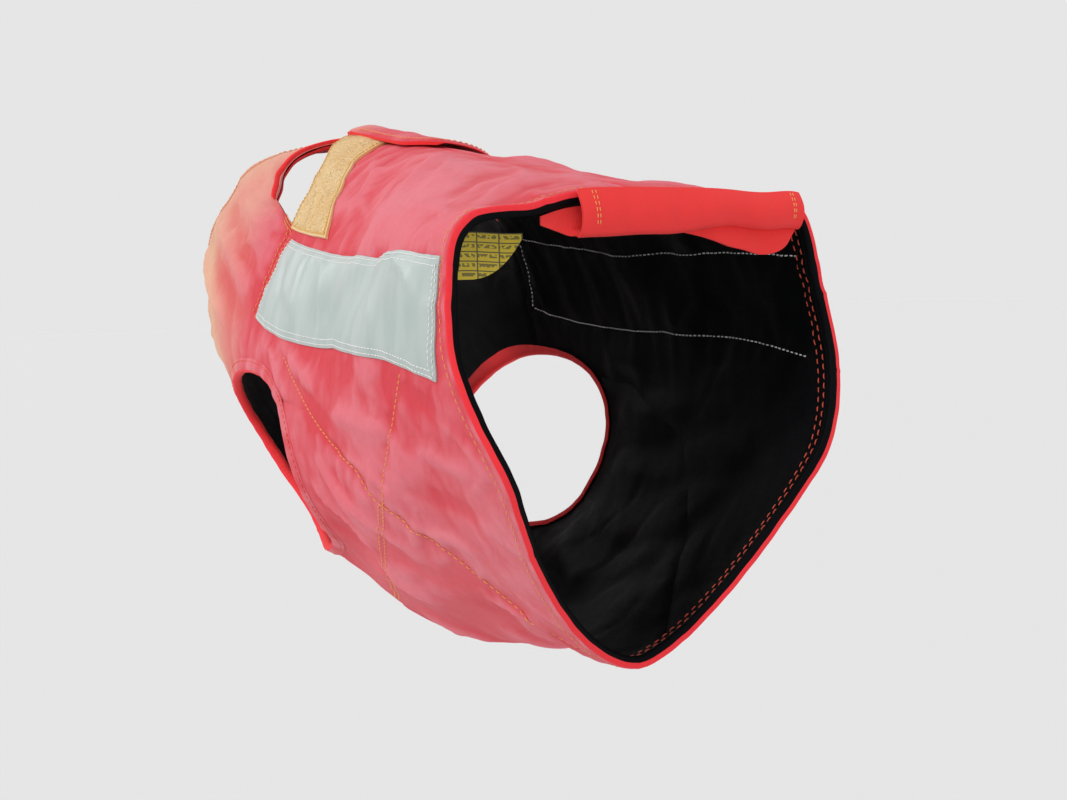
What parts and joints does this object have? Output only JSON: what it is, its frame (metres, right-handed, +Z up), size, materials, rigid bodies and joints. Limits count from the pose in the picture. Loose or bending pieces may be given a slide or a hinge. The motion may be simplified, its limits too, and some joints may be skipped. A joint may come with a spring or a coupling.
{
  "type": "dog protective vest",
  "caption": "Padded protective vest for a dog in worn shape: open tube with leg holes, neck opening, open hem, reflective side panels and a hook-and-loop collar strap.",
  "frame": {"origin": "inside of the spine above the widest part of the rib cage, where the dog's back carries the vest", "axes": "+X forward to the dog's nose, +Y to the dog's left, +Z up"},
  "size_m": [0.5116, 0.2069, 0.2944],
  "materials": {
    "outer_cloth": "coral-pink coated twill, slightly satin",
    "lining_cloth": "near-black padded lining, satin",
    "binding": "saturated red cloth, matt",
    "reflective_tape": "pale grey-green reflective tape, smooth",
    "loop_tape": "orange-yellow loop tape, napped",
    "label": "yellow woven label, satin"
  },
  "bodies": {
    "root": {"back_left": "outer_cloth", "back_right": "outer_cloth", "belly": "outer_cloth", "chest": "outer_cloth", "shoulder_left": "outer_cloth", "shoulder_right": "outer_cloth", "collar_tongue": "outer_cloth", "lining_back_left": "lining_cloth", "lining_back_right": "lining_cloth", "lining_belly": "lining_cloth", "lining_chest": "lining_cloth", "lining_shoulder_left": "lining_cloth", "lining_shoulder_right": "lining_cloth", "reflective_left": "reflective_tape", "reflective_right": "reflective_tape", "loop_strip": "loop_tape", "leg_binding_left": "binding", "leg_binding_right": "binding", "hem_binding": "binding", "neck_binding": "binding", "tail_flap": "binding", "size_tab": "label"}
  },
  "joints": []
}
